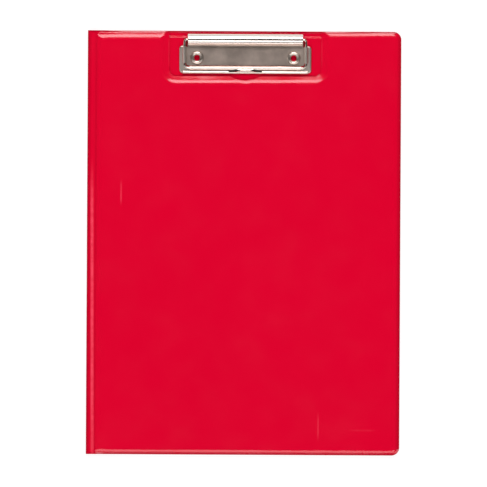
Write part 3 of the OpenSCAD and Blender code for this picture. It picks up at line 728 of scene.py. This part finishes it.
def fill_flat(mesh, sheet, outline, row, holes):
    """Fills the flat over the board, round the holes where the eyelets pass."""
    z = sheet.weld + sheet.side * (sheet.rise + SHEET)
    rings, numbers = [outline], list(row)
    for cx, cy in holes:
        ring = arc(cx, cy, EYELET_HOLE_R, 0, 360, HOLE_POINTS)
        level = np.full(len(ring), z)
        rings.append(ring)
        numbers += mesh.add_outline(ring, level, level - sheet.side * SHEET)
    corners, borders = [], []
    for ring in rings:
        first, count = len(corners), len(ring)
        corners += [Vector(point) for point in ring]
        borders += [(first + i, first + (i + 1) % count) for i in range(count)]
    points, _, triangles, sources, _, _ = delaunay_2d_cdt(corners, borders, [], 1, SAME_PLACE)
    for triangle in triangles:
        middle = sum((points[v] for v in triangle), Vector((0, 0))) / 3
        if all((middle - Vector(hole)).length > EYELET_HOLE_R for hole in holes):
            mesh.faces.append(tuple(numbers[sources[v][0]] for v in reversed(triangle)))


def crown(share):
    """Height of the soft fold, from the crease at 0 over a flat top to a round nose at 1."""
    rise = np.sin(np.pi / 2 * np.clip(share / CROWN_FROM, 0, 1)) ** 2
    past = np.clip(share - CROWN_TO, 0, 1) / (1 - CROWN_TO)
    return rise * np.sqrt(np.clip(1 - past**2, 0, 1))


def crease_points(seam_end):
    """Numbers of the ring's points along the crease, in order from one end to the other."""
    count = len(seam_end)
    found = [j for j in range(count) if abs(seam_end[j, 0] - FOLD_X) < SAME_PLACE]
    start = next(i for i, j in enumerate(found) if (j - 1) % count not in found)
    return found[start:] + found[:start]


def add_fold(mesh, sheet, seam_end, seam_row):
    """Runs the sheet on past the crease, over the soft fold and round its edge at the hinge line."""
    crease = crease_points(seam_end)
    y = seam_end[crease, 1]
    row = [seam_row[j] for j in crease]
    bulge = 1 if sheet.body == "cover" else -1
    uneven = 1 - RIDGE_WAVE * (1 - wave(y, sheet.seed + RIDGE_SEED, RIDGE_LENGTHS))
    ridge = (sheet.rise - CROWN_DROP) * uneven
    for share in np.sin(np.pi / 2 * np.linspace(0, 1, FOLD_ROWS + 1)[1:]):
        x = np.full(len(y), FOLD_X - (FOLD_X - HINGE_X) * share)
        z = sheet.weld + bulge * ridge * crown(share)
        new_row = mesh.add_outline(np.c_[x, y], z + sheet.side * SHEET, z)
        mesh.join(row, new_row, closed=False)
        row = new_row
    for turn in np.radians(np.linspace(90, 180, HINGE_ROWS + 1)[1:]):
        sides = []
        for radius in (SHEET, HINGE_CORE * SHEET):
            x = np.full(len(y), HINGE_X + radius * math.cos(turn))
            z = np.full(len(y), sheet.weld + sheet.side * radius * math.sin(turn))
            sides.append(np.c_[x, y, z])
        new_row = mesh.add_row(*sides)
        mesh.join(row, new_row, closed=False)
        row = new_row


def board_sheet(sheet, notched, holes):
    """One PVC sheet with real thickness: taut over the board, sloping down to an embossed seam that droops a
    little, and running on past the crease into the soft fold of the spine."""
    mesh = SheetMesh()
    seam_end = seam_ring(notched)
    rows = add_edge(mesh, sheet, notched, seam_end)
    fill_flat(mesh, sheet, board_ring(BOARD_RINGS[0], notched), rows[0], holes)
    add_fold(mesh, sheet, seam_end, rows[-1])
    points, faces = thick(np.concatenate(mesh.outer), np.concatenate(mesh.inner), mesh.faces)
    return make_object(sheet.name, points, faces, sheet.material, SHEET_SHARP)


COVER = {"body": "cover", "weld": COVER_WELD, "rise": COVER_RISE, "top_edge": COVER_TOP, "seed": 1.0}
BACK = {"body": "back", "weld": BACK_WELD, "rise": BACK_RISE, "top_edge": BACK_TOP, "seed": 3.0}
for sheet, holes in (
    (Sheet("cover_front", "cover_front_sheet", material=COVER_RED, side=1, **COVER), ()),
    (Sheet("cover_inside", "cover_lining", material=LINING, side=-1, **COVER), ()),
    (Sheet("back_front", "back_front_sheet", material=BACK_RED, side=1, **BACK), EYELETS),
    (Sheet("back_rear", "back_rear_sheet", material=RED, side=-1, **BACK), ()),
):
    piece = board_sheet(sheet, sheet.body == "cover", holes)
    attach(piece, sheet.body, sheet.replaced)


# Pocket inside the cover: a loose sheet, welded along three edges, whose slanted mouth hangs a little open
# Height of its lower side, and the points along each direction
POCKET_LOW, POCKET_POINTS = 70.0, 60
# Slack of the sheet, the share of its height over which that comes in, its form across, and the open mouth
POCKET_SLACK, SLACK_FROM, SLACK_POWER, MOUTH_HANG = 0.16, 0.08, 0.6, 0.05
RIPPLE, RIPPLE_SLANT, RIPPLE_SEED, RIPPLE_LENGTHS = 0.25, 0.35, 2.0, (83.0, 47.0, 29.0)
# Embossed weld, with its distance from the edge and its half width
POCKET_WELD_DEPTH, POCKET_WELD_AT, POCKET_WELD_HALF = 0.05, 1.6, 0.5


def pocket_sheet():
    low, high = box_mm("cover_pocket")
    width, height, thickness = high - low
    count = POCKET_POINTS
    u, v = np.meshgrid(np.linspace(0, 1, count), np.linspace(0, 1, count), indexing="ij")
    x = low[0] + width * u
    y = low[1] + v * (POCKET_LOW + (height - POCKET_LOW) * u)
    loose = np.sin(np.pi * u) ** SLACK_POWER * np.clip(v / SLACK_FROM, 0, 1)
    ripple = 1 - RIPPLE * (1 - wave(x + RIPPLE_SLANT * y, RIPPLE_SEED, RIPPLE_LENGTHS))
    z = low[2] - loose * (POCKET_SLACK * ripple + MOUTH_HANG * v**3)
    from_edge = np.minimum(np.minimum(u, 1 - u) * width, v * (height - POCKET_LOW))
    z += POCKET_WELD_DEPTH * np.exp(-(((from_edge - POCKET_WELD_AT) / POCKET_WELD_HALF) ** 2))
    outer = np.c_[x.ravel(), y.ravel(), z.ravel()]
    faces = []
    for i in range(count - 1):
        for j in range(count - 1):
            first, second = i * count + j, (i + 1) * count + j
            faces.append((first, first + 1, second + 1, second))
    points, faces = thick(outer, outer + np.array([0, 0, thickness]), faces)
    return make_object("pocket", points, faces, POCKET, SHEET_SHARP)


attach(pocket_sheet(), "cover", "cover_pocket")


# Strips of the spine, with rounded long edges and faces that are slightly and unevenly hollow
STRIP_ROWS, STRIP_R, STRIP_SHARP = 140, 0.16, 50
STRIP_HOLLOW, HOLLOW_LENGTHS = 0.025, (71.0, 31.0, 17.0)
# Sides of each corner in X and Z, and the angle at which its round starts
STRIP_CORNERS = ((1, 1, 0), (-1, 1, 90), (-1, -1, 180), (1, -1, 270))
CORNER_TURNS = np.array([0, 30, 60, 90])


def strip_section(middle, half):
    """Rounded oblong in x and z, about the strip's middle."""
    section = []
    for side_x, side_z, start in STRIP_CORNERS:
        cx = middle[0] + side_x * (half[0] - STRIP_R)
        cz = middle[2] + side_z * (half[2] - STRIP_R)
        for turn in np.radians(start + CORNER_TURNS):
            section.append((cx + STRIP_R * math.cos(turn), cz + STRIP_R * math.sin(turn)))
    return np.array(section)


def spine_strip(name, source, material, seed):
    low, high = box_mm(source)
    middle, half = (low + high) / 2, (high - low) / 2
    section = strip_section(middle, half)
    y = np.linspace(low[1], high[1], STRIP_ROWS)
    hollow = STRIP_HOLLOW * (1 + wave(y, seed, HOLLOW_LENGTHS)) / 2
    belly = 1 - ((section[:, 1] - middle[2]) / half[2]) ** 2
    inward = np.where(section[:, 0] < middle[0], belly, -belly)
    x = section[:, 0] + np.outer(hollow, inward)
    z = np.tile(section[:, 1], (STRIP_ROWS, 1))
    points = np.stack([x, np.repeat(y[:, None], len(section), axis=1), z], axis=-1).reshape(-1, 3)
    return make_object(name, points, tube_faces(STRIP_ROWS, len(section)), material, STRIP_SHARP)


for name, source, material, seed in (
    ("spine_outside", "spine_outer_strip", RED, 6.0),
    ("spine_inside", "spine_lining_strip", LINING, 7.0),
):
    attach(spine_strip(name, source, material, seed), "spine", source)


# Torsion springs: round wire in the barrel, with one tail held at its end and the other by the jaw's wire
SPRING_WIRE_R, COIL_R, COIL_PITCH, TURNS = 0.5, 2.4, 1.5, 6
# Where the coil lies from the clip's middle, and how far past it the straight tails start and end
COIL_OUT = 40.6
COIL_IN = COIL_OUT - TURNS * COIL_PITCH
TAIL_START, OUTER_TAIL, INNER_TAIL = 1.0, 2.0, 2.2
TAIL_ANGLE = 63.3
# Points along each turn and round the wire
COIL_POINTS, WIRE_POINTS = 32, 14
SPRING_SHARP = 60


def spring_path(side):
    """Middle line of the wire, from the tail at the barrel's end to the tail at the jaw's wire."""
    tail = math.radians(TAIL_ANGLE)
    count = COIL_POINTS * TURNS
    path = [(COIL_OUT + OUTER_TAIL, tail), (COIL_OUT + TAIL_START, tail)]
    for i in range(count + 1):
        path.append((COIL_OUT + (COIL_IN - COIL_OUT) * i / count, tail + 2 * math.pi * TURNS * i / count))
    path += [(COIL_IN - TAIL_START, tail), (COIL_IN - INNER_TAIL, tail)]
    line = []
    for reach, turn in path:
        y = BARREL_Y + COIL_R * math.cos(turn)
        z = BARREL_Z + COIL_R * math.sin(turn)
        line.append((CLIP_X + side * reach, y, z))
    return np.array(line)


def unit(vectors):
    return vectors / np.linalg.norm(vectors, axis=1)[:, None]


def round_wire(line):
    """Rings of points round a line that winds about the barrel's axis."""
    ahead = unit(np.gradient(line, axis=0))
    outward = unit((line - np.array([0, BARREL_Y, BARREL_Z])) * np.array([0, 1, 1]))
    across = unit(np.cross(ahead, outward))
    outward = np.cross(across, ahead)
    around = []
    for turn in 2 * np.pi * np.arange(WIRE_POINTS) / WIRE_POINTS:
        around.append(line + SPRING_WIRE_R * (outward * math.cos(turn) + across * math.sin(turn)))
    return np.stack(around, axis=1).reshape(-1, 3)


def torsion_spring(side, name, replaced):
    """Coil of round wire about the barrel's axis, with a straight tail at each end, in the place of a CAD
    spring.
    """
    line = spring_path(side)
    piece = make_object(name, round_wire(line), tube_faces(len(line), WIRE_POINTS), SPRING, SPRING_SHARP)
    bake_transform(piece)
    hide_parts(replaced)


torsion_spring(-1, "spring_left", "torsion_spring_left")
torsion_spring(1, "spring_right", "torsion_spring_right")

# The CAD model's own boards, plate, jaw, wire and eyelets, in their materials
for node_name, material in (
    ("back_core", BOARD),
    ("cover_core", BOARD),
    ("bail_wire", WIRE),
    ("clip_base", NICKEL),
    ("clip_jaw", JAW),
    ("eyelet_left", EYELET),
    ("eyelet_right", EYELET),
):
    nodes[node_name].data.materials.clear()
    nodes[node_name].data.materials.append(material)


# Floor: white to the eye and in reflections, and it keeps the soft shadow
FLOOR_HALF = 12
FLOOR_DROP = 0.2
FLOOR_GLOW = 0.82
FLOOR_GREY, SHADOW_GREY = 0.75, 0.3


def floor_material():
    material, tree, shader = new_material("floor")
    tree.nodes.remove(shader)
    output = next(n for n in tree.nodes if n.type == "OUTPUT_MATERIAL")
    rays = add_node(tree, "ShaderNodeLightPath").outputs
    seen = maths(tree, "MAXIMUM", rays["Is Camera Ray"], rays["Is Glossy Ray"])
    seen = maths(tree, "MAXIMUM", seen, rays["Is Transmission Ray"])
    plain, shade = (
        add_node(tree, "ShaderNodeBsdfDiffuse", {"Color": (grey, grey, grey, 1)}).outputs[0]
        for grey in (FLOOR_GREY, SHADOW_GREY)
    )
    glow = add_node(tree, "ShaderNodeEmission", {"Color": (1, 1, 1, 1), "Strength": FLOOR_GLOW}).outputs[0]
    white = add_node(tree, "ShaderNodeAddShader", {0: shade, 1: glow}).outputs[0]
    mixed = add_node(tree, "ShaderNodeMixShader", {0: seen, 1: plain, 2: white}).outputs[0]
    tree.links.new(mixed, output.inputs[0])
    return material


def make_floor():
    mesh = bpy.data.meshes.new("floor")
    corners = [(x * FLOOR_HALF, y * FLOOR_HALF, 0) for x, y in ((-1, -1), (1, -1), (1, 1), (-1, 1))]
    mesh.from_pydata(corners, [], [(0, 1, 2, 3)])
    mesh.materials.append(floor_material())
    floor = bpy.data.objects.new("floor", mesh)
    bpy.context.scene.collection.objects.link(floor)
    floor.location.z = -FLOOR_DROP * MM


make_floor()


# Soft boxes: two beyond the top edge, the upper one bright, two beyond the bottom edge and one on the left
# Each has a tilt from straight up and a direction from +Y towards +X, in degrees, two sides and a radiance
Softbox = namedtuple("Softbox", "name tilt direction width height radiance")
LIGHT_DISTANCE = 3.0
SOFTBOXES = [
    Softbox("key_top", 38, 0, 1.6, 1.2, 8.3),
    Softbox("key_low", 63, 0, 2.6, 1.3, 1.6),
    Softbox("fill_bottom", 31, 180, 4.2, 1.5, 2.8),
    Softbox("fill_low", 78, 180, 3.0, 1.0, 1.7),
    Softbox("fill_left", 77, 270, 0.8, 2.0, 1.2),
]


def make_light(box):
    tilt, direction = math.radians(box.tilt), math.radians(box.direction)
    flat = math.sin(tilt)
    towards = Vector((flat * math.sin(direction), flat * math.cos(direction), math.cos(tilt))).normalized()
    data = bpy.data.lights.new(box.name, "AREA")
    data.shape = "RECTANGLE"
    data.size = box.width
    data.size_y = box.height
    data.energy = box.radiance * math.pi * box.width * box.height
    light = bpy.data.objects.new(box.name, data)
    bpy.context.scene.collection.objects.link(light)
    light.location = towards * LIGHT_DISTANCE
    light.rotation_mode = "QUATERNION"
    light.rotation_quaternion = towards.to_track_quat("Z", "Y")
    light.visible_camera = False


for softbox in SOFTBOXES:
    make_light(softbox)


# Room: pale walls that darken towards the ceiling, by height from the horizon at 0 to straight up at 1
ROOM = [(0.0, 0.6), (0.12, 0.45), (0.32, 0.14), (0.75, 0.04), (0.97, 0.018)]
ROOM_TINT = (1.0, 0.98, 0.96)


def make_room():
    world = bpy.data.worlds.new("room")
    bpy.context.scene.world = world
    world.use_nodes = True
    tree = world.node_tree
    tree.nodes.clear()
    output = add_node(tree, "ShaderNodeOutputWorld")
    where = add_node(tree, "ShaderNodeTexCoord").outputs["Generated"]
    height = add_node(tree, "ShaderNodeSeparateXYZ", {0: where}).outputs["Z"]
    stops = [(position, tuple(grey * part for part in ROOM_TINT)) for position, grey in ROOM]
    background = add_node(
        tree, "ShaderNodeBackground", {"Color": colour_ramp(tree, height, stops), "Strength": 1.0}
    )
    tree.links.new(background.outputs[0], output.inputs[0])


make_room()
